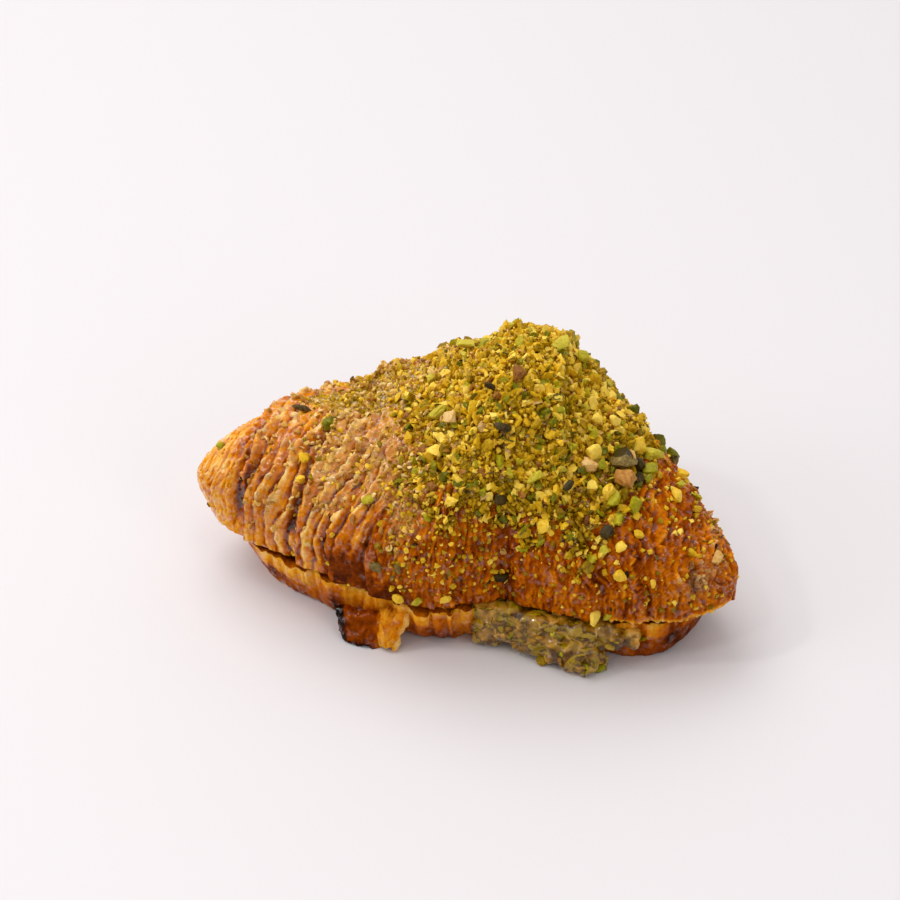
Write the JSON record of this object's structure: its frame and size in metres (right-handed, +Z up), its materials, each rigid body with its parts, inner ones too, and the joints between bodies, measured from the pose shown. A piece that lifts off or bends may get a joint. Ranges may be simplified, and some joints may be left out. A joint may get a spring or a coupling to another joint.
{
  "type": "filled croissant",
  "caption": "Plump crescent pastry with layered, browned crust, cut level and filled with nut cream that spills at the front, and topped with chopped pistachios.",
  "frame": {"origin": "middle of the bounding box, at the level of the flat sole that it stands on", "axes": "+X from the left tip to the right tip, +Y from the front, where the cream spills, to the back, +Z up"},
  "size_m": [0.158, 0.0952, 0.075],
  "materials": {
    "baked_crust": "glazed golden to red-brown crust under a coat of yellow-green chopped nuts",
    "pistachio_cream": "moist, greyish green and tan cream with nut bits",
    "golden_rim": "satin golden rim, scorched at the tongue"
  },
  "bodies": {
    "root": {"upper_crust": "baked_crust", "pistachio_cream": "pistachio_cream", "lower_crust": "golden_rim"}
  },
  "joints": []
}
